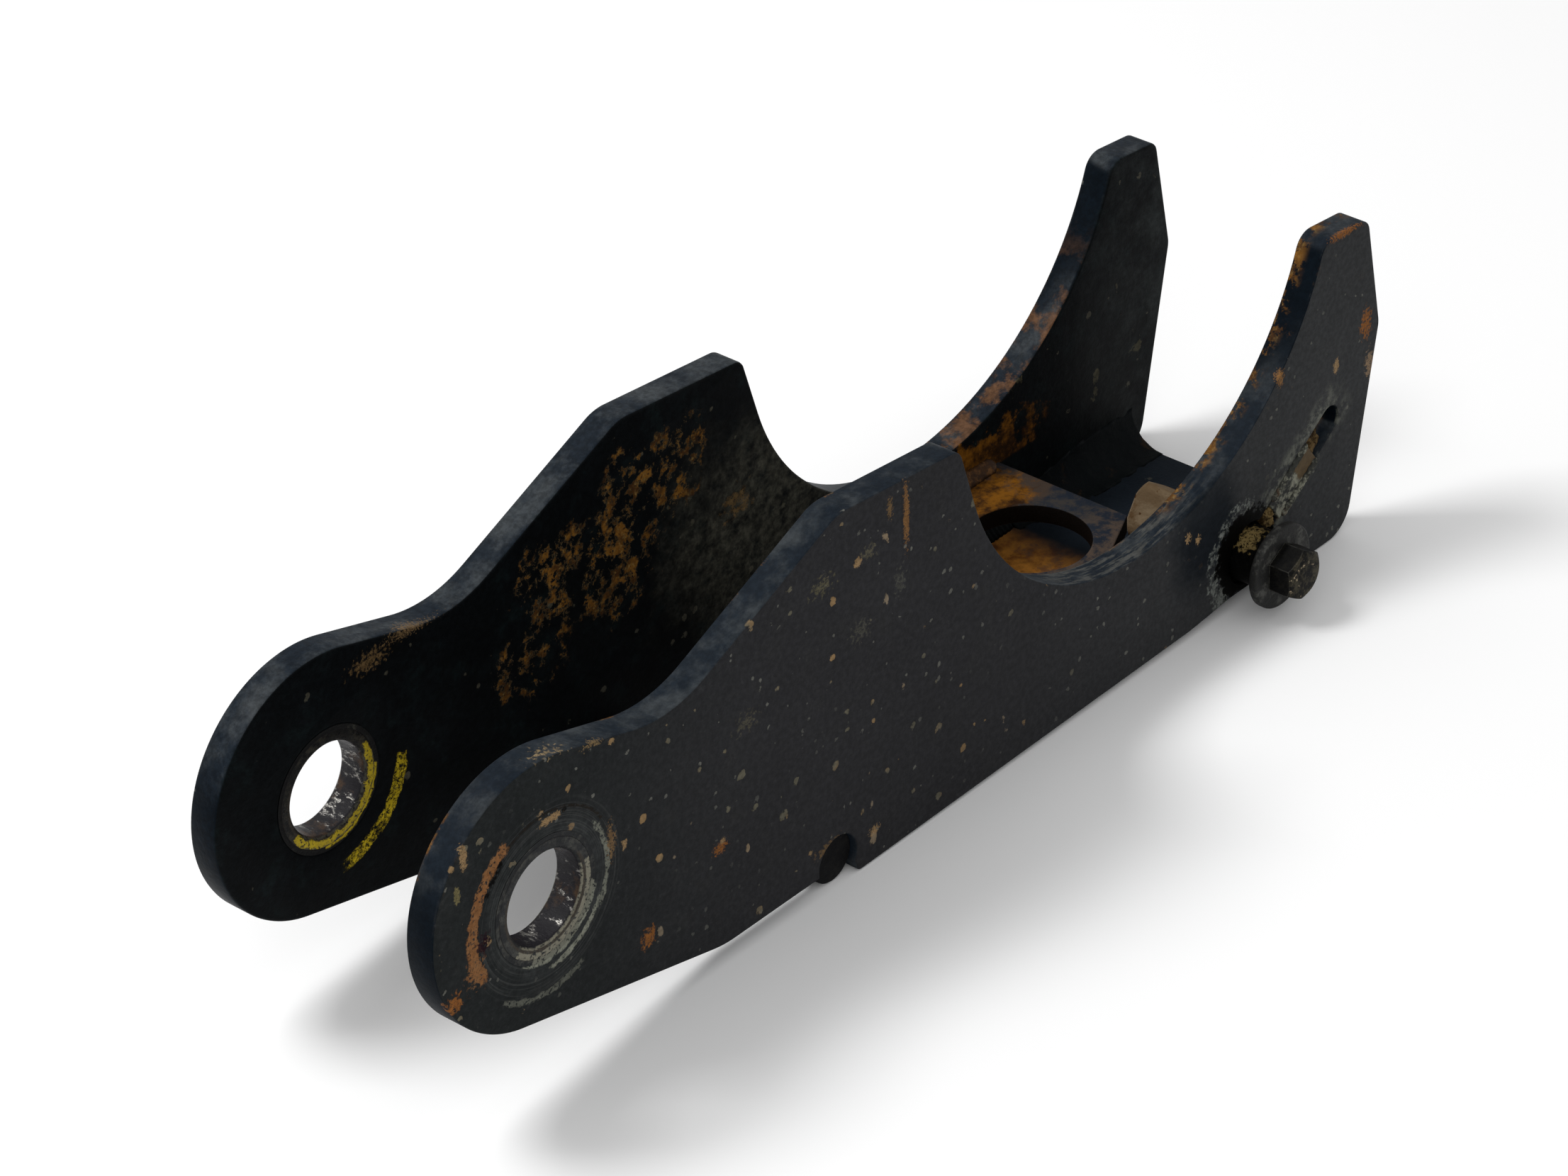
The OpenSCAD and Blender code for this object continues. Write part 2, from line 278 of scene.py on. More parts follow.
    def flecks(self, cell, share, size, scale_shift=0.0, factors=(1, 1, 1)):
        """Scattered chips: one to a cell of the given size in mm, in that share of the cells."""
        made = self.node("ShaderNodeTexVoronoi")
        at = self.vector("ADD", self.warped(cell * MM * 0.5, 1.6 / (cell * MM), factors),
                         (scale_shift, scale_shift, scale_shift))
        self.feed(made.inputs["Vector"], at)
        made.inputs["Scale"].default_value = 1 / (cell * MM)
        channels = self.node("ShaderNodeSeparateColor")
        self.feed(channels.inputs[0], made.outputs["Color"])
        chance = channels.outputs[0]
        rank = self.math("DIVIDE", self.minus(chance, 1 - share), share, clamp=True)
        crumbled = self.times(self.shared_noise(2.4 / (cell * MM)), 4.0)
        reach = self.times(self.math("POWER", rank, 1.6), self.minus(crumbled, 0.6), size)
        return self.step(self.minus(reach, made.outputs["Distance"]), 0.0, 0.04)

    def edge(self, radius, low=0.02, high=0.25):
        """1 along sharp edges, 0 on flat faces."""
        round_normal = self.node("ShaderNodeBevel", samples=6)
        round_normal.inputs["Radius"].default_value = radius
        agree = self.vector("DOT_PRODUCT", round_normal.outputs["Normal"], self.normal)
        return self.step(self.minus(1.0, agree), low, high)

    def varied(self, colour, scale, spread=0.3):
        """A colour that drifts lighter and darker."""
        return self.mix(self.noise(scale, 5.0, 0.6), tuple(c * (1 - spread) for c in colour),
                        tuple(c * (1 + spread) for c in colour))

    def gritty(self, colour, scale=330.0, low=0.62, high=1.30):
        """The finished colour broken up by fine grit, lighter and darker."""
        grit = self.step(self.noise(scale, 7.0, 0.72), 0.38, 0.64)
        return self.vector("MULTIPLY", colour, self.mix(grit, (low,) * 3, (high,) * 3))

    def cover(self, base, *layers):
        """Lays (mask, colour) pairs over a base colour, one after the other."""
        for mask, colour in layers:
            base = self.mix(mask, base, colour)
        return base

    def level(self, base, *layers):
        """Lays (mask, number) pairs over a base number, as for roughness."""
        for mask, number in layers:
            base = self.mix(mask, (base,) * 3 if isinstance(base, float) else base, (number,) * 3)
        return base

    def rusty(self):
        """Orange-brown rust with darker scabs and tan dust."""
        fine = self.noise(420.0)
        coarse = self.noise(95.0, 5.0, 0.65)
        tone = self.mix(self.step(coarse, 0.38, 0.62), BROWN, (0.185, 0.082, 0.014))
        return self.mix(self.step(fine, 0.50, 0.70), tone, (0.215, 0.135, 0.045))

    def fresh_rust(self):
        """Saturated orange rust that runs into dark brown."""
        return self.mix(self.step(self.noise(62.0, 8.0, 0.72), 0.40, 0.62), (0.022, 0.009, 0.003),
                        (0.155, 0.060, 0.005))

    def finish(self, colour, roughness, bump=None, depth=0.0003, metallic=0.0, specular=0.2):
        self.feed(self.shader.inputs["Base Color"], colour)
        self.feed(self.shader.inputs["Roughness"], roughness)
        self.feed(self.shader.inputs["Metallic"], metallic)
        self.shader.inputs["Specular IOR Level"].default_value = specular
        if bump is not None:
            made = self.node("ShaderNodeBump")
            made.inputs["Strength"].default_value = 1.0
            made.inputs["Distance"].default_value = depth
            self.feed(made.inputs["Height"], bump)
            self.tree.links.new(made.outputs["Normal"], self.shader.inputs["Normal"])
        return self.material


# ---------------------------------------------------------------- paint of the side plates

def plate_ground(graph):
    """The paint on both faces and on the cut rim of a side plate, with painted shade on the inner faces and
    on the rim where it faces sideways.
    """
    depth = graph.math("ABSOLUTE", graph.y)
    outer = graph.step(depth, OUTER_Y - 2 * MM, OUTER_Y - 1 * MM)
    inner = graph.step(depth, INNER_Y + 2 * MM, INNER_Y + 1 * MM)
    rim = graph.step(graph.math("ABSOLUTE", graph.normal_y), 0.75, 0.5)
    charcoal = graph.varied(CHARCOAL, 22.0, 0.22)
    charcoal = graph.mix(graph.step(graph.x, 0.16, -0.02), charcoal,
                         graph.varied((0.0124, 0.0142, 0.0145), 26.0, 0.35))
    charcoal = graph.mix(graph.step(graph.x, 0.28, 0.54), charcoal,
                         graph.varied((0.0290, 0.0300, 0.0312), 30.0, 0.20))
    # near black on the inner faces: soot, and painted shade inside the channel between the plates
    soot_and_shade = graph.varied(SOOT_AND_SHADE, 30.0, 0.6)
    rim_paint_and_shade = graph.mix(graph.cloud(38.0, 0.42, 0.66, 6.0, 0.66),
                          BLUE_BLACK, (0.0350, 0.0400, 0.0440))
    # painted shade: the cut rim is made darker where it faces sideways, at the nose and on the steep rim
    # beyond the saddle
    shaded_nose_side = graph.times(graph.step(graph.x, 0.02, -0.04), graph.step(graph.normal_z, 0.65, 0.25))
    shaded_steep_rim = graph.times(graph.step(graph.x, 0.44, 0.48), graph.step(graph.normal_z, 0.80, 0.55))
    rim_shade = graph.most(shaded_nose_side, shaded_steep_rim)
    rim_paint_and_shade = graph.mix(rim_shade, rim_paint_and_shade, graph.varied(PAINTED_SHADE, 60.0, 0.5))
    colour = graph.mix(inner, charcoal, soot_and_shade)
    colour = graph.mix(rim, colour, rim_paint_and_shade)
    return colour, outer, inner, rim, graph.times(shaded_nose_side, rim)


def edge_wear(graph, amount):
    """Chips that follow the sharp edges, and a painted sheen along them."""
    band = graph.edge(2.2 * MM)
    places = graph.noise(28.0, 3.0, 0.5)
    crumbs = graph.noise(260.0, 5.0, 0.7)
    chips = graph.times(band, graph.step(places, 0.60 - amount, 0.66 - amount),
                        graph.step(crumbs, 0.46, 0.52))
    # painted sheen: a lighter band along the sharp edges
    painted_sheen = graph.times(graph.edge(1.4 * MM), graph.step(crumbs, 0.35, 0.60))
    return chips, painted_sheen


def used_face(graph, colour, outer):
    """Dulling, grain and chips on the outer face of a side plate."""
    busy = graph.cloud(11.0, 0.36, 0.60, 3.0, 0.5)
    small = graph.times(outer, graph.flecks(9, 0.45, 0.22), graph.step(graph.x, 0.62, 0.15))
    tiny = graph.times(outer, graph.flecks(4.5, 0.40, 0.22, 0.31), busy)
    upright = graph.times(outer, graph.flecks(12, 0.35, 0.17, 0.77, (1, 1, 0.6)))
    left_half = graph.step(graph.x, 0.42, 0.25)
    dulled = graph.times(outer, graph.cloud(48.0, 0.52, 0.75))
    grain = graph.times(outer, graph.cloud(310.0, 0.52, 0.80, 6.0, 0.75))
    colour = graph.cover(
        colour,
        (graph.times(dulled, 0.45), (0.026, 0.026, 0.025)),
        (graph.times(grain, 0.5), (0.040, 0.041, 0.042)),
        (graph.times(small, 0.85), graph.mix(graph.step(graph.noise(33.0, 4.0, 0.55), 0.45, 0.6), DUST, TAN)),
        (graph.times(tiny, 0.7), GREY),
        (graph.times(upright, left_half, 0.9), graph.mix(graph.noise(33.0, 4.0, 0.55), GREY, TAN)))
    return colour, graph.most(small, tiny)


def right_paint():
    """Worn charcoal paint, with the marks of use around the bore, the saddle and the lock pin."""
    graph = Graph("right_paint")
    y = -OUTER_Y / MM
    colour, outer, inner, rim, shaded_nose_rim = plate_ground(graph)
    chips, painted_sheen = edge_wear(graph, 0.02)
    inner_rust = graph.times(inner, graph.cloud(30.0, 0.55, 0.60, 8.0))
    colour, small = used_face(graph, colour, outer)
    colour = graph.cover(
        colour,
        # painted sheen along the edges, lighter bluish, kept off the shaded nose rim
        (graph.times(graph.without(painted_sheen, shaded_nose_rim), 0.6), (0.036, 0.041, 0.047)),
        (graph.times(inner_rust, 0.8), graph.rusty()))
    colour = bore_marks(graph, colour, outer, y)
    colour = graph.cover(
        colour,
        *graph.marks(y,
            (ORANGE, 110, -34.5, 5.0, 3.4),
            (TAN, 112, -31.5, 2.0, 1.6),
            (TAN, 206.5, 66.5, 3.2, 2.8, 0.5),
            ((0.17, 0.085, 0.030), 240, 75, 2.4, 18, 0.7),
            ((0.12, 0.075, 0.035), 229, 84, 2.2, 6),
            ((0.12, 0.075, 0.035), 183, -74, 9, 4, 1.1),
            (TAN, 214, -82, 4, 3),
            (ORANGE, 62, -56, 5, 6, 1.0)),
        (graph.times(graph.mark(y, 182, 66, 8, 5, 1.4), 0.6), (0.110, 0.098, 0.055)),
        (graph.times(graph.mark(y, 208, 30, 7, 6, 1.4), 0.5), (0.085, 0.082, 0.062)),
        (graph.times(graph.mark(y, 130, 22, 8, 5, 1.4), 0.5), (0.095, 0.085, 0.055)),
        (graph.times(graph.mark(y, 235, 42, 4, 8, 1.3), 0.5), (0.085, 0.085, 0.068)),
        (graph.times(graph.mark(y, 214, 68, 6, 4, 1.3), 0.6), (0.110, 0.098, 0.062)),
        (graph.patch((18, y + 4, 71), (16, 7, 4), 1.0), (0.22, 0.16, 0.085)),
        (graph.mark(y, 36, 62, 8, 2.2, 1.1), (0.17, 0.115, 0.055)))

    # the saddle: rubbed bright along its edges and its floor, with rust towards the horn
    low_part = graph.times(graph.step(graph.x, 0.33, 0.37), graph.step(graph.x, 0.48, 0.44),
                           graph.step(graph.z, 0.03, 0.0))
    bright_edge = graph.times(graph.edge(2.0 * MM, 0.06, 0.22), low_part)
    streaks = graph.noise(110.0, 6.0, 0.68, at=graph.stretched((0.6, 4, 1)))
    worn_floor = graph.times(rim, low_part, graph.step(streaks, 0.44, 0.60))
    rim_rust = graph.times(rim, graph.step(graph.x, 0.43, 0.46), graph.step(graph.z, -0.06, -0.03),
                           graph.step(graph.y, -OUTER_Y + 7 * MM, -OUTER_Y + 15 * MM),
                           graph.cloud(70.0, 0.49, 0.56, 7.0, 0.72))
    loose = graph.times(rim, graph.step(graph.x, 0.43, 0.46), graph.cloud(55.0, 0.60, 0.64, 7.0, 0.72))
    colour = graph.cover(
        colour,
        (graph.times(worn_floor, 0.75), (0.070, 0.070, 0.064)),
        (graph.times(bright_edge, 0.9), (0.200, 0.205, 0.195)),
        (rim_rust, graph.rusty()),
        (graph.times(loose, 0.6), BROWN),
        (graph.times(graph.without(chips, bright_edge), 0.9),
         graph.mix(graph.noise(75.0, 4.0, 0.6), ORANGE, TAN)))
    colour = lock_marks(graph, colour, y)
    colour = graph.cover(
        colour,
        (graph.patch((590, y, 15), (5, 5, 9)), ORANGE),
        (graph.patch((594, y, -10), (4, 5, 9)), (0.19, 0.13, 0.08)),
        (graph.mark(y, 566, 2, 2.6, 4.5, 0.5), TAN),
        (graph.patch((520, y, 18), (3, 4, 8), 0.7), (0.17, 0.085, 0.03)),
        (graph.mark(y, 572, 75, 15, 3.0, 0.7), ORANGE))
    glossy = graph.times(graph.step(graph.x, 0.42, 0.44), graph.step(graph.x, 0.48, 0.46),
                         graph.step(graph.z, -0.045, -0.03))
    roughness = graph.level(0.62, (glossy, 0.16), (graph.times(graph.without(rim, glossy), 0.6), 0.45),
                            (graph.most(chips, small), 0.85))
    bump = graph.minus(graph.times(graph.noise(340.0, 6.0, 0.66), 0.75),
                      graph.times(graph.most(chips, small), 0.5))
    return graph.finish(graph.gritty(colour, 330.0, 0.80, 1.15), roughness, bump, 0.0003, specular=0.03)


def bore_marks(graph, colour, outer, y):
    """Around the near bore: a ground ring with turned scratches, a torn arc of rust, bare crescents."""
    def arc(*shape):
        return graph.times(outer, graph.arc(*shape))

    radius = graph.radius()
    spun = graph.node("ShaderNodeCombineXYZ")
    graph.feed(spun.inputs[0], graph.times(radius, 2.0))
    graph.feed(spun.inputs[1], graph.times(graph.x, 14.0))
    graph.feed(spun.inputs[2], graph.times(graph.z, 14.0))
    turned = graph.noise(1.0, 5.0, 0.7, at=spun.outputs[0])
    worn = graph.cloud(75.0, 0.36, 0.66, 6.0, 0.72)
    ground = graph.times(outer, graph.step(radius, 41, 34), worn)
    scored = graph.times(outer, graph.step(radius, 49, 44), graph.step(turned, 0.50, 0.60))
    torn_rust = graph.mix(graph.noise(170.0), (0.165, 0.052, 0.012), (0.190, 0.112, 0.052))
    pale = graph.mix(graph.noise(190.0, 5.0, 0.7), (0.085, 0.088, 0.072), (0.24, 0.245, 0.195))
    return graph.cover(
        colour,
        (graph.times(ground, 0.45), (0.042, 0.045, 0.045)),
        (graph.times(scored, 0.45), (0.056, 0.058, 0.056)),
        (arc(42.5, 1.6, 110, 80, 1.0), (0.012, 0.010, 0.008)),
        (arc(44.8, 6.4, 163, 44, 3.4, 250.0), torn_rust),
        (graph.mark(y, -44, -12, 6, 10, 0.9), torn_rust),
        (arc(40.5, 3.6, 137, 7, 1.0), GREASE),
        *graph.marks(y,
            ((0.012, 0.004, 0.007), -38.5, -1.5, 5.0, 6.0, 0.6),
            (TAN, 5.5, 38.3, 7.5, 2.2, 0.6),
            (GREASE, 14.0, 38.5, 1.6, 1.3, 0.3),
            (graph.mix(graph.noise(200.0, 4.0, 0.55), BROWN, TAN), 41.5, 7.0, 3.0, 9.5, 0.9),
            (TAN, 49.5, 1.0, 2.2, 3.4, 0.8)),
        (arc(36.5, 2.6, -58, 30, 2.0), pale),
        (arc(31.0, 2.6, -68, 52, 2.4), pale),
        (graph.times(arc(38.5, 3.0, 0, 34, 2.6), 0.7), pale),
        (graph.times(arc(48.0, 3.0, -95, 30, 2.4), 0.45), pale),
        (graph.mark(y, -47, 47, 2.6, 7, 0.5), TAN),
        (graph.mark(y, -52, 30.5, 2.2, 5, 0.5), (0.13, 0.11, 0.05)),
        (graph.patch((-58, y, -22), (6, 4, 5), 0.9), ORANGE))


def lock_marks(graph, colour, y):
    """Around the lock pin: painted shade, a scraped halo, black grease, and the rubbed slot."""
    lock = (LOCK.x / MM, LOCK.z / MM)
    # painted shade: a soft dark patch on the outer face beside the lock pin
    shade = graph.times(graph.patch((462, y, -44), (27, 4, 30), 0.4, 0.9, True), 0.8)
    halo = graph.times(graph.arc(29.0, 12.0, 165, 80, 4.0, 110.0, lock),
                       graph.cloud(240.0, 0.44, 0.62))
    wobble = graph.times(graph.minus(graph.noise(190.0, 6.0, 0.72), 0.5), 26.0)
    grease_r = graph.math("ADD", graph.radius((lock[0] - 4.0, lock[1] + 3.0)), wobble)
    grease = graph.times(graph.step(grease_r, 24.5, 22.5),
                         graph.step(graph.y, -OUTER_Y + 14 * MM, -OUTER_Y + 12 * MM))
    return graph.cover(
        colour,
        (shade, PAINTED_SHADE),
        (graph.times(halo, 0.9), (0.150, 0.160, 0.146)),
        (graph.mark(y, 448.5, -40, 2.4, 3.2, 0.8), TAN),
        (graph.mark(y, 456.5, -44.5, 2.2, 2.8, 0.8), TAN),
        (slot_scuffs(graph), (0.150, 0.155, 0.128)),
        (grease, GREASE))


def slot_scuffs(graph):
    """A rubbed band on both sides of the lock finger's slot."""
    away = graph.vector("SUBTRACT", graph.place, tuple(LOCK))
    across = graph.vector("DOT_PRODUCT", away, (-math.sin(SLOT_ANGLE), 0, math.cos(SLOT_ANGLE)))
    along = graph.vector("DOT_PRODUCT", away, (math.cos(SLOT_ANGLE), 0, math.sin(SLOT_ANGLE)))
    near_slot = graph.step(graph.away(across, 4 * MM), 18 * MM, 8 * MM)
    run = graph.times(graph.step(along, 14 * MM, 20 * MM), graph.step(along, 100 * MM, 75 * MM))
    broken = graph.cloud(110.0, 0.42, 0.62, 7.0, 0.74)
    outside = graph.step(graph.y, -OUTER_Y + 2 * MM, -OUTER_Y + 1 * MM)
    return graph.times(near_slot, run, broken, outside, 0.75)


def left_paint():
    """Inner face near black from soot and painted shade, with flaking rust, dust and yellow residue; charcoal
    outside.
    """
    graph = Graph("left_paint")
    y = INNER_Y / MM
    far = OUTER_Y / MM
    colour, outer, inner, rim, _ = plate_ground(graph)
    scabs = graph.noise(85.0, 9.0, 0.74)
    islands = graph.step(scabs, 0.525, 0.545)
    fringe = graph.step(graph.away(scabs, 0.530), 0.016, 0.006)
    pits = graph.cloud(330.0, 0.62, 0.56, 5.0)
    region = graph.most(graph.patch((208, y, 54), (38, 6, 28), 0.7, 0.2, True),
                        graph.patch((152, y, 34), (36, 6, 26), 0.7, 0.2, True),
                        graph.patch((190, y, 20), (26, 6, 26), 0.7, 0.2, True),
                        graph.patch((130, y, 4), (26, 6, 22), 0.7, 0.2, True))
    rust_spread = graph.times(region, islands, pits)
    dust_cloud = graph.times(graph.patch((284, y, 2), (58, 6, 48), 0.5, 1.0, True),
                             graph.cloud(140.0, 0.30, 0.70, 6.0, 0.75))
    horn_dust = graph.times(inner, graph.step(graph.x, 0.50, 0.60),
                            graph.cloud(55.0, 0.35, 0.75))
    pale_spots = graph.times(inner, graph.step(graph.x, 0.44, 0.50),
                             graph.flecks(16, 0.40, 0.30, 0.4, (1, 1, 0.7)))
    flecks = graph.times(inner, graph.flecks(8, 0.26, 0.20, 0.12))
    seat_rust = graph.times(graph.patch((428, y, -48), (66, 8, 20), 0.9, 0.3, True),
                            graph.step(graph.z, SEAT_TOP_Z - 2 * MM, SEAT_TOP_Z))
    chips, painted_sheen = edge_wear(graph, 0.05)
    yellow = graph.times(inner, graph.most(graph.arc(45.5, 7.5, -30, 21, 2.2),
                                           graph.arc(44.5, 7.0, -66, 12, 2.8)))
    cracks = graph.step(graph.away(graph.noise(210.0, 5.0, 0.7), 0.5), 0.030, 0.012)
    ground = graph.times(outer, graph.step(graph.radius(), 43, 33),
                         graph.cloud(75.0, 0.36, 0.66, 6.0, 0.72))
    colour, small = used_face(graph, colour, outer)
    saddle_rust = graph.times(rim, graph.step(graph.x, 0.36, 0.42), graph.step(graph.z, 0.05, 0.0),
                              graph.cloud(50.0, 0.48, 0.60))
    patches = graph.mix(graph.noise(75.0, 4.0, 0.6), ORANGE, TAN)
    colour = graph.cover(
        colour,
        (graph.times(inner, graph.cloud(60.0, 0.50, 0.72, 7.0, 0.72), 0.5), (0.0055, 0.0110, 0.0115)),
        (dust_cloud, (0.056, 0.054, 0.042)),
        (graph.times(horn_dust, 0.85), (0.020, 0.024, 0.024)),
        # painted sheen along the edges
        (graph.times(painted_sheen, 0.35), (0.024, 0.028, 0.034)),
        (graph.times(flecks, 0.40), DUST),
        (graph.times(pale_spots, 0.50), (0.085, 0.075, 0.042)),
        (graph.times(region, fringe, 0.9), (0.100, 0.072, 0.036)),
        (rust_spread, graph.rusty()),
        (graph.times(graph.patch((270, y, 17), (10, 6, 8), 1.4), 0.55), (0.150, 0.088, 0.030)),
        (graph.times(seat_rust, 0.95), graph.fresh_rust()),
        (graph.times(saddle_rust, 0.8), graph.mix(graph.noise(90.0, 4.0, 0.55), BROWN, (0.16, 0.08, 0.04))),
        (graph.patch((30, y, 52), (13, 6, 5), 1.3), (0.100, 0.062, 0.026)),
        (graph.patch((62, y, 56), (22, 6, 3.5), 1.0), (0.130, 0.082, 0.038)),
        (graph.times(ground, 0.6), (0.060, 0.062, 0.060)),
        *graph.marks(far,
            (ORANGE, 96, -38, 6, 4, 0.9),
            (TAN, 232, 62, 5, 7, 1.0),
            (ORANGE, 330, -62, 7, 4, 1.1),
            (TAN, 520, -20, 6, 9, 1.1),
            (GREY, 170, 30, 10, 7, 1.3)),
        (chips, patches),
        (yellow, graph.mix(cracks, graph.varied(YELLOW, 120.0, 0.4), (0.010, 0.008, 0.004))))
    roughness = graph.level(0.55, (graph.most(rust_spread, dust_cloud, chips, small), 0.9),
                            (graph.times(rim, 0.6), 0.40))
    bump = graph.math("ADD", graph.times(graph.noise(380.0, 5.0, 0.6), 0.5),
                      graph.times(graph.most(rust_spread, chips), 0.8))
    return graph.finish(graph.gritty(colour, 330.0, 0.70, 1.24), roughness, bump, 0.0005, specular=0.035)


# ---------------------------------------------------------------- other materials

def bore_steel(name, yellow_side):
    """Greasy steel in the bore, bare in places, with painted shade on the upper wall; painted over and
    scratched on the faces.
    """
    graph = Graph(name)
    face = graph.step(graph.math("ABSOLUTE", graph.normal_y), 0.5, 0.75)
    smears = graph.noise(170.0, 7.0, 0.74, at=graph.stretched((1, 0.45, 1)))
    bare = graph.step(smears, 0.54, 0.62)
    wall = graph.mix(bare, (0.012, 0.011, 0.013), (0.26, 0.25, 0.23))
    wall = graph.mix(graph.cloud(60.0, 0.52, 0.64), wall, (0.050, 0.030, 0.018))
    # painted shade: the bore wall made darker above its axis, where it faces down
    wall = graph.mix(graph.step(graph.z, 0.006, 0.018), wall, (0.018, 0.016, 0.018))
    scratched = graph.cloud(210.0, 0.44, 0.66, 6.0, 0.72)
    painted = graph.mix(scratched, (0.011, 0.012, 0.013), (0.042, 0.042, 0.037))
    if yellow_side:
        painted = graph.mix(scratched, (0.004, 0.004, 0.004), (0.028, 0.025, 0.018))
    pale = 0.25 if yellow_side else 1.0
    colour = graph.cover(graph.mix(face, wall, painted),
                         (graph.times(graph.arc(25.5, 6.0, -60, 75, 2.0), face, pale), (0.170, 0.160, 0.120)),
                         (graph.times(graph.arc(24.5, 1.6, -90, 120, 0.6), face), (0.030, 0.024, 0.018)))
    if yellow_side:
        residue = graph.times(graph.arc(26.0, 3.4, -60, 88, 3.0, 250.0), face,
                              graph.step(graph.y, INNER_Y + 3 * MM, INNER_Y + 2 * MM))
        colour = graph.cover(colour, (residue, graph.varied(YELLOW, 150.0, 0.5)))
    metal = graph.times(graph.minus(1.0, face), bare)
    roughness = graph.level(0.45, (graph.step(smears, 0.35, 0.65), 0.16))
    return graph.finish(colour, roughness, smears, 0.0009, metal, 0.1)


def weld_ring(name, yellow_side):
    """The ground weld around a bush: dark paint with bare, bright scratches."""
    graph = Graph(name)
    torn = graph.noise(190.0, 6.0, 0.72)
    if yellow_side:
        gap_side = graph.step(graph.y, INNER_Y + 3 * MM, INNER_Y + 2 * MM)
        colour = graph.cover(graph.varied((0.005, 0.005, 0.005), 80.0),
                             (graph.step(torn, 0.58, 0.72), (0.03, 0.03, 0.024)),
                             (graph.times(graph.arc(28.5, 3.0, -50, 48, 1.6, 220.0), gap_side), YELLOW))
    else:
        colour = graph.mix(graph.step(torn, 0.48, 0.68), (0.011, 0.012, 0.013), (0.050, 0.050, 0.044))
        scraped = graph.times(graph.arc(30, 4, -62, 48, 1.8), 0.8)
        colour = graph.cover(colour, (scraped, (0.160, 0.160, 0.125)))
    return graph.finish(colour, 0.5, torn, 0.0009, specular=0.1)


def seat_look():
    """The seat plate's top: blue-black paint with a rusted far side and brown mottling; its hole wall and
    other upright faces near black as painted shade.
    """
    graph = Graph("seat_rust")
    y_far = INNER_Y / MM
    top_mm = SEAT_TOP_Z / MM
    # painted shade: upright faces, the hole wall among them, made near black
    hole = graph.step(graph.math("ABSOLUTE", graph.normal_z), 0.7, 0.4)
    mottled = graph.cloud(120.0, 0.42, 0.60, 7.0, 0.72)
    rusted = graph.patch((418, y_far - 16, top_mm), (42, 24, 12), 0.5, 0.4, True)
    faded = graph.patch((452, y_far - 22, top_mm), (20, 18, 12), 0.5, 0.4, True)
    colour = graph.cover(
        graph.varied((0.012, 0.016, 0.024), 60.0),
        (graph.times(mottled, 0.6), (0.045, 0.036, 0.026)),
        (graph.times(graph.step(graph.y, 0.0, -0.03), mottled, 0.9), (0.064, 0.045, 0.034)),
        (graph.times(faded, 0.8), (0.048, 0.032, 0.022)),
        (rusted, graph.fresh_rust()),
        (graph.times(graph.edge(1.6 * MM), 0.7), (0.100, 0.080, 0.058)),
        (hole, (0.0030, 0.0018, 0.0012)))
    return graph.finish(colour, 0.8, graph.noise(300.0, 7.0, 0.7), 0.0007, specular=0.05)


def heel_look():
    """The heel plate: rusty on top inside the box, blue-black paint at its rear."""
    graph = Graph("heel_paint")
    inside = graph.step(graph.x, 0.475, 0.445)
    scabs = graph.cloud(75.0, 0.34, 0.62, 8.0)
    below = graph.step(graph.normal_z, -0.3, -0.6)
    rust = graph.cover((0.220, 0.078, 0.020), (scabs, (0.720, 0.300, 0.050)),
                       (graph.cloud(35.0, 0.52, 0.66), (0.200, 0.110, 0.065)))
    colour = graph.cover(graph.varied(BLUE_BLACK, 50.0, 0.4),
                         (inside, rust),
                         (graph.times(below, graph.cloud(25.0, 0.46, 0.60, 7.0), 0.8), graph.rusty()),
                         (graph.times(graph.flecks(9, 0.2, 0.2), 0.4), DUST))
    return graph.finish(colour, 0.75, graph.noise(320.0), 0.0006, specular=0.05)


def dull_paint(name, base, dust=0.3, rust=0.2, worn_edges=0.5):
    """Dull dark paint with dust and some rust, for the inner pieces."""
    graph = Graph(name)
    edges = graph.times(graph.edge(1.2 * MM), graph.cloud(200.0, 0.40, 0.60, 5.0))
    colour = graph.cover(
        graph.varied(base, 55.0, 0.35),
        (graph.times(graph.cloud(110.0, 0.45, 0.75, 7.0), dust), (0.050, 0.047, 0.038)),
        (graph.times(graph.step(graph.noise(48.0, 8.0, 0.7), 0.60 - rust * 0.3, 0.70 - rust * 0.3), rust * 3),
         graph.rusty()),
        (graph.times(edges, worn_edges), GREY))
    return graph.finish(colour, 0.65, graph.noise(330.0, 6.0, 0.65), 0.0005, specular=0.06)


def bead_look(name, base, light):
    """A weld bead under paint, rubbed bare on its ripples."""
    graph = Graph(name)
    rubbed = graph.cloud(170.0, 0.46, 0.66, 7.0, 0.72)
    colour = graph.cover(graph.varied(base, 80.0, 0.4), (rubbed, light),
                         (graph.times(graph.cloud(60.0, 0.55, 0.66), 0.7), BROWN))
    return graph.finish(colour, 0.6, graph.noise(500.0), 0.0004, specular=0.08)


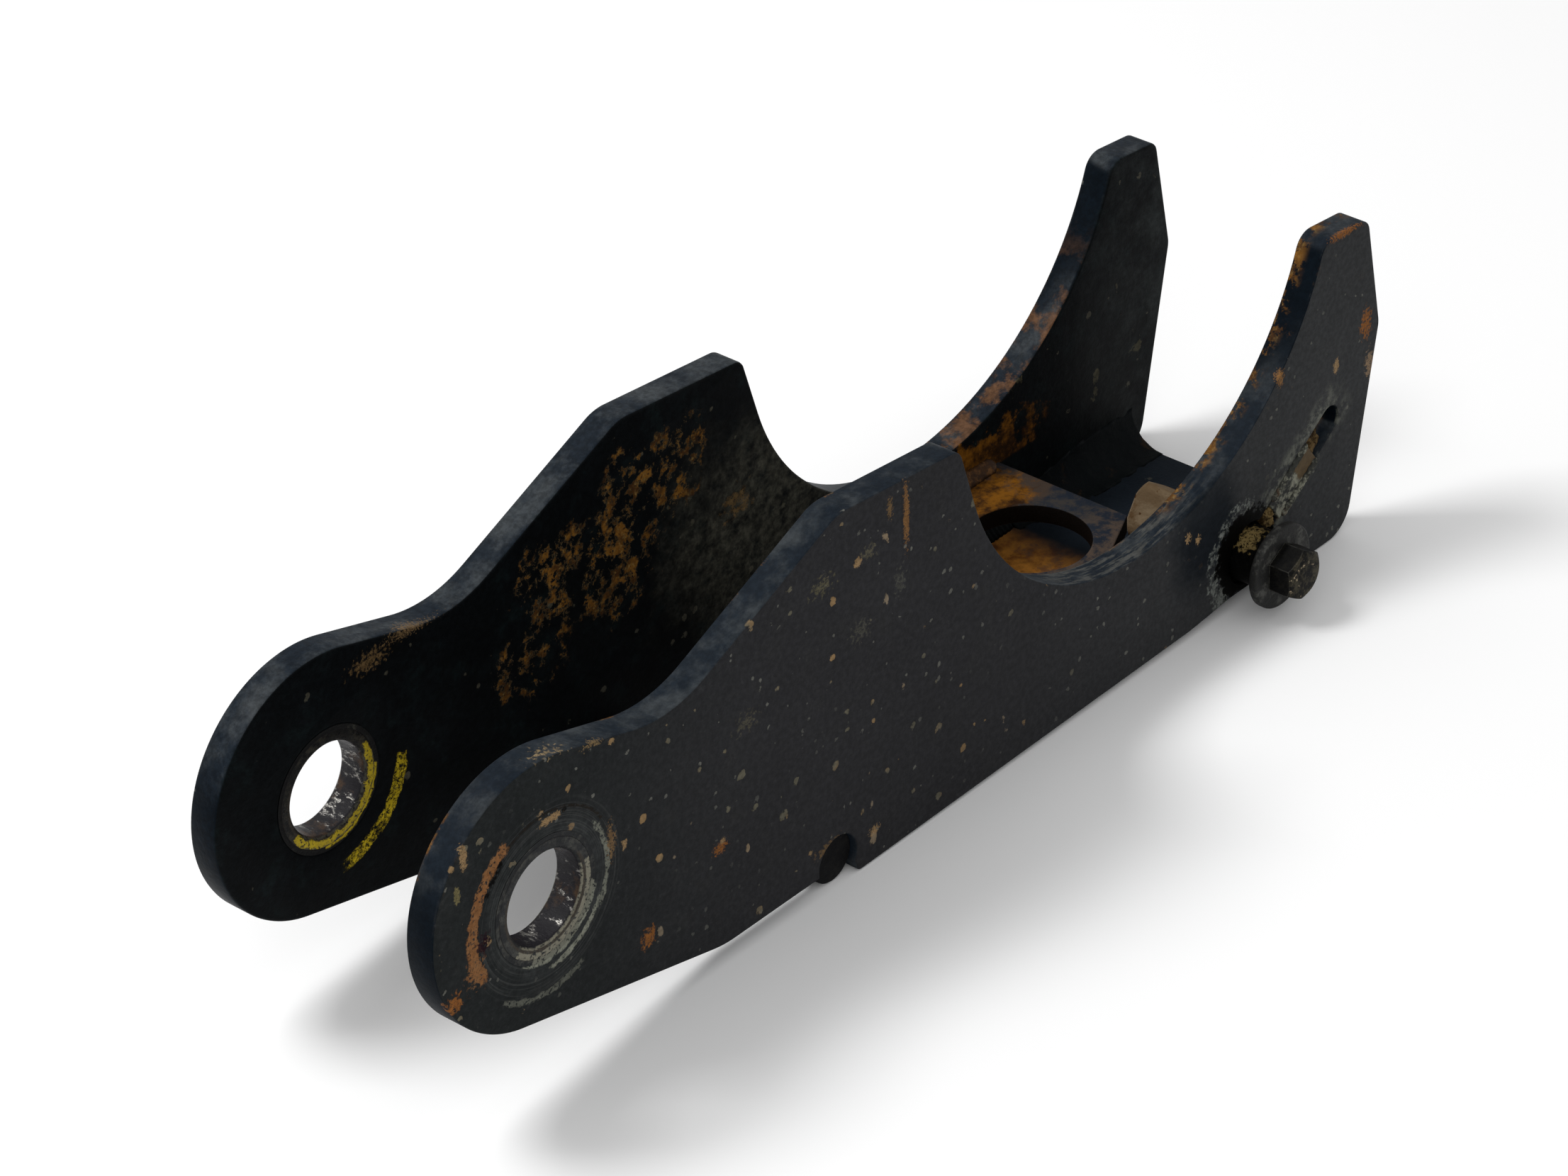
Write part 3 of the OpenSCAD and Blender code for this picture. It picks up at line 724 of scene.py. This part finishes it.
def pin_look():
    """The lock pin: black grease and painted shade outside the plate, tan rust film on the square block, with
    a painted highlight on its edges.
    """
    graph = Graph("pin_steel")
    inside = graph.step(graph.y, -0.058, -0.050)
    streaks = graph.noise(55.0, 6.0, 0.65, 0.4, at=graph.stretched((1, 0.4, 1)))
    block = graph.cover((0.105, 0.070, 0.038),
                        (graph.step(streaks, 0.45, 0.62), (0.175, 0.130, 0.080)),
                        (graph.cloud(42.0, 0.52, 0.64, 7.0), (0.085, 0.045, 0.018)),
                        # painted highlight: the block's edges made lighter
                        (graph.times(graph.edge(2.4 * MM), 0.6), (0.26, 0.22, 0.16)),
                        (graph.flecks(5, 0.25, 0.25), BROWN))
    caked = graph.patch((LOCK.x / MM - 5, -OUTER_Y / MM - 4, LOCK.z / MM + 12), (10, 7, 7), 0.7)
    # near black outside the plate: grease, and painted shade between washer and plate
    grease = graph.cover(GREASE, (graph.cloud(150.0, 0.64, 0.74), (0.008, 0.007, 0.004)),
                         (caked, (0.190, 0.135, 0.052)))
    roughness = graph.level(0.45, (inside, 0.80))
    return graph.finish(graph.mix(inside, grease, block), roughness,
                        graph.noise(260.0, 7.0, 0.7), 0.0008, specular=0.05)


def washer_look():
    """Dusty grey washer with bright, worn edges."""
    graph = Graph("washer_steel")
    edges = graph.times(graph.edge(1.8 * MM), graph.cloud(120.0, 0.34, 0.62, 5.0))
    colour = graph.cover(graph.varied((0.013, 0.013, 0.0125), 70.0, 0.35),
                         (graph.cloud(120.0, 0.50, 0.66, 7.0, 0.74), (0.060, 0.060, 0.054)),
                         (edges, (0.160, 0.160, 0.130)))
    return graph.finish(colour, 0.55, graph.noise(420.0), 0.0005, specular=0.12)


def bolt_look():
    """Black oxide, with tan dust packed on the end face and bare corners."""
    graph = Graph("bolt_black")
    head_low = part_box("lock_bolt")[0].y
    end_face = graph.step(graph.y, head_low + 1.6 * MM, head_low + 0.6 * MM)
    edges = graph.times(graph.edge(1.1 * MM), graph.cloud(210.0, 0.36, 0.55, 5.0))
    clods = graph.cloud(190.0, 0.42, 0.62, 7.0, 0.75)
    colour = graph.cover(graph.varied((0.0030, 0.0030, 0.0030), 90.0, 0.6),
                         (graph.times(clods, 0.04), DUST),
                         (graph.times(end_face, clods, 0.6), (0.068, 0.059, 0.038)),
                         (graph.times(end_face, graph.cloud(260.0, 0.60, 0.66, 5.0)), (0.30, 0.24, 0.16)),
                         (graph.times(edges, 0.9), (0.190, 0.185, 0.160)))
    return graph.finish(colour, 0.5, graph.noise(380.0), 0.0005, specular=0.05)


def filler_look():
    """Scraped, pale filler strip, with brown dirt at its far end."""
    graph = Graph("filler_scraped")
    dirt = graph.patch((LOCK.x / MM + 45, -OUTER_Y / MM, LOCK.z / MM + 32), (12, 5, 11), 0.4, 0.2, True)
    pale = graph.cloud(150.0, 0.42, 0.60, 7.0, 0.75)
    colour = graph.cover(graph.varied((0.016, 0.017, 0.016), 90.0), (pale, (0.220, 0.220, 0.170)),
                         (dirt, graph.mix(graph.noise(240.0), (0.020, 0.012, 0.006),
                                          (0.120, 0.080, 0.035))))
    return graph.finish(colour, 0.7, graph.noise(220.0, 7.0, 0.75), 0.0012)


def dirt_look(name, dark, light):
    """Packed dirt and grease."""
    graph = Graph(name)
    clods = graph.cloud(240.0, 0.42, 0.60, 7.0, 0.75)
    colour = graph.mix(clods, dark, light)
    return graph.finish(colour, 0.85, graph.noise(420.0), 0.0008, specular=0.05)


# ---------------------------------------------------------------- meshes

def link(name, mesh, material=None):
    made = bpy.data.objects.new(name, mesh)
    bpy.context.scene.collection.objects.link(made)
    if material:
        mesh.materials.append(material)
    return made


def stands_for(piece, node):
    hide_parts(node)
    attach(piece, NODES[node]["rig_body"])
    return piece


def rounded_copy(node, name, width, material, segments=3):
    """A copy of a CAD node with its sharp edges rounded. It stands for that node."""
    mesh = NODES[node].data.copy()
    work = bmesh.new()
    work.from_mesh(mesh)
    bmesh.ops.remove_doubles(work, verts=work.verts, dist=1e-6)
    bmesh.ops.dissolve_limit(work, angle_limit=math.radians(0.5), verts=work.verts, edges=work.edges)
    work.to_mesh(mesh)
    work.free()
    mesh.materials.clear()
    piece = link(name, mesh, material)
    for polygon in mesh.polygons:
        polygon.use_smooth = True
    bevel = piece.modifiers.new("round", "BEVEL")
    bevel.width = width
    bevel.segments = segments
    bevel.limit_method = "ANGLE"
    bevel.angle_limit = math.radians(40)
    bevel.harden_normals = True
    bpy.context.view_layer.update()
    graph = bpy.context.evaluated_depsgraph_get()
    mesh = bpy.data.meshes.new_from_object(piece.evaluated_get(graph))
    piece.modifiers.clear()
    piece.data = mesh
    return stands_for(piece, node)


def straight(start, end, first_leg, second_leg):
    """A bead's run along a straight corner: place and the two directions of its legs."""
    start, end = Vector(start), Vector(end)
    return (end - start).length, lambda t: (start.lerp(end, t), Vector(first_leg), Vector(second_leg))


def round_run(centre, radius, start, end, second_leg):
    """A bead's run around a round bar along Y, from one angle in degrees to another."""
    first, last = math.radians(start), math.radians(end)

    def run(t):
        turn = first + (last - first) * t
        outward = Vector((math.cos(turn), 0, math.sin(turn)))
        return Vector(centre) + outward * radius, outward, Vector(second_leg)
    return radius * abs(last - first), run


def bead_mesh(runs, leg, ripple=0.09, pitch=3.2 * MM, sides=7):
    """Weld beads along the given runs: bulging fillets with the ripples of a torch."""
    verts, faces = [], []
    sunk = 0.4 * MM
    for number, (length, run) in enumerate(runs):
        rings = max(14, int(length / (0.7 * MM)))
        first = len(verts)
        for i in range(rings + 1):
            t = i / rings
            from_end = min(t, 1 - t) * length / leg
            taper = math.sqrt(min(1.0, 0.15 + from_end))
            wander = noise.noise(Vector((t * length * 75, number * 5.1, leg * 900)))
            place, first_leg, second_leg = run(t)
            verts.append(place - (first_leg + second_leg) * sunk)
            for k in range(sides):
                angle = math.radians(90) * k / (sides - 1)
                beat = (t * length + 0.45 * pitch * math.sin(2 * angle)) / pitch % 1
                bulge = 0.52 + 0.48 / (math.cos(angle) + math.sin(angle))
                reach = leg * bulge * taper * (1 + ripple * (math.sin(math.pi * beat) - 0.9) + 0.11 * wander)
                verts.append(place + (first_leg * math.cos(angle) + second_leg * math.sin(angle)) * reach)
        around = sides + 1
        for i in range(rings):
            for k in range(around):
                a = first + i * around + k
                b = first + i * around + (k + 1) % around
                faces.append((a, b, b + around, a + around))
        faces.append(tuple(first + k for k in reversed(range(around))))
        faces.append(tuple(first + rings * around + k for k in range(around)))
    mesh = bpy.data.meshes.new("bead")
    mesh.from_pydata(verts, [], faces)
    work = bmesh.new()
    work.from_mesh(mesh)
    bmesh.ops.recalc_face_normals(work, faces=work.faces)
    work.to_mesh(mesh)
    work.free()
    for polygon in mesh.polygons:
        polygon.use_smooth = True
    return mesh


def lumps_mesh(lumps, roughness=0.35, keep_out=None):
    """Clods of dirt: (centre, radii) balls with uneven surfaces, kept out of the pin's way."""
    mesh = bpy.data.meshes.new("lumps")
    work = bmesh.new()
    for centre, radii in lumps:
        made = bmesh.ops.create_icosphere(work, subdivisions=4, radius=1.0)
        for vert in made["verts"]:
            seed = vert.co * 1.3 + Vector(centre) * 900
            swell = 1 + roughness * noise.noise(seed) + 0.5 * roughness * noise.noise(seed * 2.7)
            vert.co = Vector(centre) + Vector(c * r * swell for c, r in zip(vert.co, radii))
            if keep_out is not None:
                away = Vector((vert.co.x - LOCK.x, 0, vert.co.z - LOCK.z))
                if away.length < keep_out:
                    away = away.normalized() * keep_out
                    vert.co.x, vert.co.z = LOCK.x + away.x, LOCK.z + away.z
    work.to_mesh(mesh)
    work.free()
    for polygon in mesh.polygons:
        polygon.use_smooth = True
    return mesh


# ---------------------------------------------------------------- the pieces

def in_slot(along, across, y):
    """A place in the lock finger's slot, measured from the lock pin's axis, in metres."""
    return Vector((LOCK.x + along * math.cos(SLOT_ANGLE) - across * math.sin(SLOT_ANGLE), y,
                   LOCK.z + along * math.sin(SLOT_ANGLE) + across * math.cos(SLOT_ANGLE)))


def make_plates():
    rounded_copy("side_plate_right", "right_plate", 1.5 * MM, right_paint())
    rounded_copy("side_plate_left", "left_plate", 1.5 * MM, left_paint())
    rounded_copy("seat_plate", "seat", 0.8 * MM, seat_look())
    rounded_copy("heel_plate", "heel", 0.8 * MM, heel_look())
    rounded_copy("box_web", "web", 0.6 * MM, dull_paint("web_paint", (0.010, 0.010, 0.011), 0.4, 0.4))
    rounded_copy("cross_rod", "rod", 0.8 * MM, dull_paint("rod_paint", (0.0045, 0.0045, 0.005), 0.2, 0.0))
    rounded_copy("slot_filler", "filler", 0.7 * MM, filler_look())


def make_bushes():
    for side, yellow in (("right", False), ("left", True)):
        rounded_copy("pivot_bush_" + side, "bush_" + side, 0.5 * MM, bore_steel("bore_" + side, yellow))
        rounded_copy("bush_welds_" + side, "bush_ring_" + side, 0.15 * MM,
                     weld_ring("ring_" + side, yellow), 2)


def make_lock():
    rounded_copy("guide_sleeve", "sleeve", 0.3 * MM,
                 dirt_look("sleeve_grease", GREASE, (0.004, 0.003, 0.002)))
    rounded_copy("lock_pin", "pin", 0.6 * MM, pin_look())
    rounded_copy("lock_finger", "finger", 1.2 * MM,
                 dull_paint("finger_paint", (0.010, 0.010, 0.010), 0.6, 0.8))
    rounded_copy("lock_washer", "washer", 1.1 * MM, washer_look())
    rounded_copy("lock_bolt", "bolt", 0.7 * MM, bolt_look())


def make_beads():
    inner = bead_look("inner_bead", (0.009, 0.010, 0.012), (0.026, 0.022, 0.017))
    rusty = bead_look("rusty_bead", (0.030, 0.015, 0.008), (0.130, 0.060, 0.020))
    scraped = bead_look("scraped_bead", (0.030, 0.031, 0.027), (0.270, 0.270, 0.210))
    up, left, right = (0, 0, 1), (0, 1, 0), (0, -1, 0)

    def corner_runs(node, z):
        """One run on each side where a level face meets the side plates, as long as its CAD bead."""
        runs = []
        for side, inward in ((INNER_Y, right), (-INNER_Y, left)):
            xs = [v.co.x for v in NODES[node].data.vertices if abs(v.co.y - side) < SAME_PLACE]
            runs.append(straight((min(xs), side, z), (max(xs), side, z), inward, up))
        return runs

    seat = bead_mesh(corner_runs("seat_welds", SEAT_TOP_Z), WELD, 0.05)
    stands_for(link("seat_beads", seat, rusty), "seat_welds")

    web_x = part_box("box_web")[0].x
    web = bead_mesh([straight((web_x, side, SOLE_TOP_Z), (web_x, side, SEAT_UNDER_Z), (-1, 0, 0), inward)
                     for side, inward in ((INNER_Y, right), (-INNER_Y, left))], WELD)
    stands_for(link("web_beads", web, inner), "web_welds")

    rod = bead_mesh([round_run((ROD.x, side, ROD.z), ROD_R, 190, -10, inward)
                     for side, inward in ((INNER_Y, right), (-INNER_Y, left))], WELD - 1 * MM)
    stands_for(link("rod_beads", rod, inner), "rod_welds")

    finger_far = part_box("lock_finger")[1].y
    finger = bead_mesh([round_run((LOCK.x, finger_far, LOCK.z), PIN_R, 11, -29, left)], 5 * MM)
    stands_for(link("finger_bead", finger, inner), "finger_weld")

    side_way = Vector((-math.sin(SLOT_ANGLE), 0, math.cos(SLOT_ANGLE)))
    edges = []
    for sign in (-1, 1):
        for outward in (1, -1):
            edges.append(straight(in_slot(FILLER_BEAD_START, sign * SLOT_HALF, -OUTER_Y),
                                  in_slot(FILLER_END, sign * SLOT_HALF, -OUTER_Y),
                                  side_way * outward, right))
    filler = bead_mesh(edges, 2.0 * MM, 0.45, 4.2 * MM)
    stands_for(link("filler_beads", filler, scraped), "filler_welds")


def make_heel_beads():
    """Small beads along the box, and the big hollow fillet at the rear left, with ripples too."""
    node = "heel_welds"
    low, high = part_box(node)
    fillet = high.z - SOLE_TOP_Z
    tall = [v.co.x for v in NODES[node].data.vertices if v.co.z > high.z - SAME_PLACE]
    fillet_start, fillet_end = min(tall), max(tall)
    right_end = max(v.co.x for v in NODES[node].data.vertices if v.co.y < 0)
    runs = [straight((low.x, side, SOLE_TOP_Z), (end, side, SOLE_TOP_Z), (0, inward, 0), (0, 0, 1))
            for side, end, inward in ((INNER_Y, fillet_start + 3 * MM, -1), (-INNER_Y, right_end, 1))]
    mesh = bead_mesh(runs, WELD)
    work = bmesh.new()
    work.from_mesh(mesh)
    rings = int((fillet_end - fillet_start) / (1.0 * MM))
    sides = 14
    rows = []
    for i in range(rings + 1):
        x = fillet_start + (fillet_end - fillet_start) * i / rings
        grown = fillet * math.sqrt(min(1.0, 0.2 + 1.4 * i / rings))
        row = [work.verts.new((x, INNER_Y + SUNK, SOLE_TOP_Z - SUNK))]
        for k in range(sides + 1):
            angle = math.radians(90) * k / sides
            wave = 0.25 * MM * noise.noise(Vector((x * 160, k * 0.7, 3.0)))
            reach = Vector((1 - math.sin(angle), 1 - math.cos(angle))) * grown
            row.append(work.verts.new((x, INNER_Y - reach.x - wave, SOLE_TOP_Z + reach.y + wave)))
        rows.append(row)
    around = sides + 2
    for first, second in zip(rows, rows[1:]):
        for k in range(around):
            work.faces.new((first[k], first[(k + 1) % around], second[(k + 1) % around], second[k]))
    work.faces.new(list(reversed(rows[0])))
    work.faces.new(rows[-1])
    bmesh.ops.recalc_face_normals(work, faces=work.faces)
    for face in work.faces:
        face.smooth = True
    work.to_mesh(mesh)
    work.free()
    # near black, darker than the heel plate's paint: paint and painted shade in the corner
    paint = dull_paint("heel_fillet_paint_and_shade", (0.0012, 0.0025, 0.0032), 0.03, 0.05, 0.0)
    stands_for(link("heel_beads", mesh, paint), node)


def make_dirt():
    """Dirt packed in the pocket between the lock pin and the filler, and on the filler's end."""
    clear = PIN_R + 0.6 * MM
    face = -OUTER_Y
    pocket = [(in_slot(20.5 * MM, 1.0 * MM, face + 7.5 * MM), (4.4 * MM, 7.0 * MM, 6.2 * MM)),
              (in_slot(18.5 * MM, 4.6 * MM, face + 4.2 * MM), (3.2 * MM, 3.6 * MM, 3.4 * MM)),
              (in_slot(19.5 * MM, -3.6 * MM, face + 3.6 * MM), (3.0 * MM, 3.2 * MM, 3.0 * MM)),
              (in_slot(22.0 * MM, 1.2 * MM, face + 2.6 * MM), (3.0 * MM, 2.4 * MM, 3.2 * MM)),
              (in_slot(17.6 * MM, 0.6 * MM, face + 3.2 * MM), (2.4 * MM, 2.6 * MM, 2.6 * MM))]
    clods = link("pocket_dirt", lumps_mesh(pocket, 0.4, clear),
                 dirt_look("pocket_dirt", (0.030, 0.017, 0.006), (0.215, 0.150, 0.062)))
    crust = [(in_slot((61 + 2.2 * i) * MM, (3.4 * math.sin(2.1 * i)) * MM, face + (3.0 + 1.1 * i) * MM),
              (4.4 * MM, 2.6 * MM, 4.0 * MM)) for i in range(4)]
    rust = link("slot_dirt", lumps_mesh(crust, 0.4),
                dirt_look("slot_dirt", (0.020, 0.012, 0.005), (0.095, 0.062, 0.026)))
    for piece in (clods, rust):
        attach(piece, "frame")


make_plates()
make_bushes()
make_lock()
make_beads()
make_heel_beads()
make_dirt()


# ---------------------------------------------------------------- stage, light and camera

def floor():
    mesh = bpy.data.meshes.new("floor")
    reach = 6.0
    z = SOLE_Z - 0.3 * MM
    mesh.from_pydata([(-reach, -reach, z), (reach, -reach, z), (reach, reach, z), (-reach, reach, z)],
                     [], [(0, 1, 2, 3)])
    link("floor", mesh, Graph("floor_white").finish((0.9, 0.9, 0.9), 0.9))


def area_light(name, place, size, watts, target=(0.27, 0.0, 0.0)):
    lamp = bpy.data.lights.new(name, "AREA")
    lamp.shape = "SQUARE"
    lamp.size = size
    lamp.energy = watts
    made = bpy.data.objects.new(name, lamp)
    made.location = place
    made.rotation_euler = (Vector(target) - Vector(place)).to_track_quat("-Z", "Y").to_euler()
    bpy.context.scene.collection.objects.link(made)


def camera():
    """At the photograph's place: azimuth from -Y towards -X, elevation above the floor, small roll."""
    azimuth, elevation, roll = math.radians(-48.26), math.radians(32.58), math.radians(-1.66)
    back = Vector((math.sin(azimuth) * math.cos(elevation), -math.cos(azimuth) * math.cos(elevation),
                   math.sin(elevation)))
    right = Matrix.Rotation(roll, 3, back) @ Vector((math.cos(azimuth), math.sin(azimuth), 0.0))
    up = back.cross(right)
    data = bpy.data.cameras.new("camera")
    data.lens = 127.68
    data.sensor_width = 36.0
    made = bpy.data.objects.new("camera", data)
    made.matrix_world = Matrix.Translation((-1.3596, -1.4260, 1.3767)) @ Matrix(
        (right, up, back)).transposed().to_4x4()
    bpy.context.scene.collection.objects.link(made)
    bpy.context.scene.camera = made


floor()
area_light("key", (-0.6, 1.1, 2.2), 0.9, 42)
area_light("front", (-1.8, -1.6, 1.6), 1.5, 10)
world = bpy.data.worlds.new("world")
world.use_nodes = True
world.node_tree.nodes["Background"].inputs["Color"].default_value = (1, 1, 1, 1)
world.node_tree.nodes["Background"].inputs["Strength"].default_value = 0.7
bpy.context.scene.world = world
bpy.context.scene.view_settings.view_transform = "Standard"
camera()
